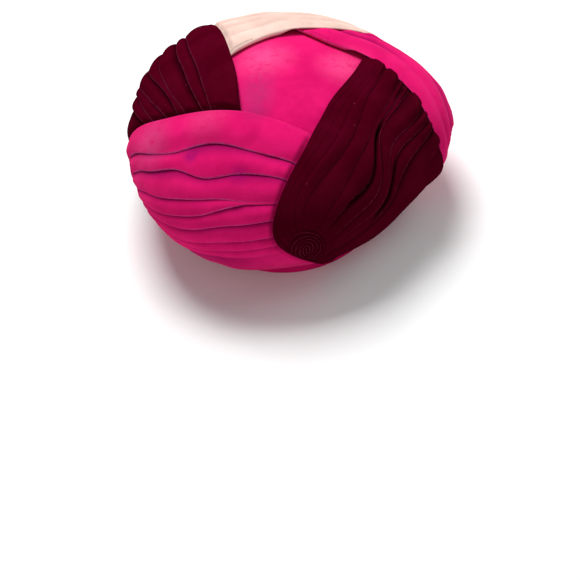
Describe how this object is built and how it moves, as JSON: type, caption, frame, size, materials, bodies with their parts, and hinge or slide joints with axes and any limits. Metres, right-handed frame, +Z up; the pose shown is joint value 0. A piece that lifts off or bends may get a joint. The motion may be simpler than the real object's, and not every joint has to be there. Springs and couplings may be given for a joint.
{
  "type": "tilt hat",
  "caption": "Close draped velvet turban hat: a smooth cap wrapped by pleated swathes that start in whorls and weave round the crown tip.",
  "frame": {"origin": "on the surface that the rim rests on, under the middle of the hat's bounding box", "axes": "+Z up through the crown tip, -Y towards the side that the picture shows nearest, +X to that viewer's right"},
  "size_m": [0.2662, 0.2591, 0.1311],
  "materials": {
    "fuchsia_velvet": "short-pile velvet, matt with a pale sheen along fold edges",
    "burgundy_velvet": "short-pile velvet, very dark, with fine pale pile lines along fold edges",
    "blush_velvet": "short-pile velvet, pale and soft"
  },
  "bodies": {
    "root": {"crown": "fuchsia_velvet", "front_pink_drape": "fuchsia_velvet", "right_burgundy_drape": "burgundy_velvet", "back_pink_drape": "fuchsia_velvet", "blush_drape": "blush_velvet", "left_burgundy_drape": "burgundy_velvet"}
  },
  "joints": []
}
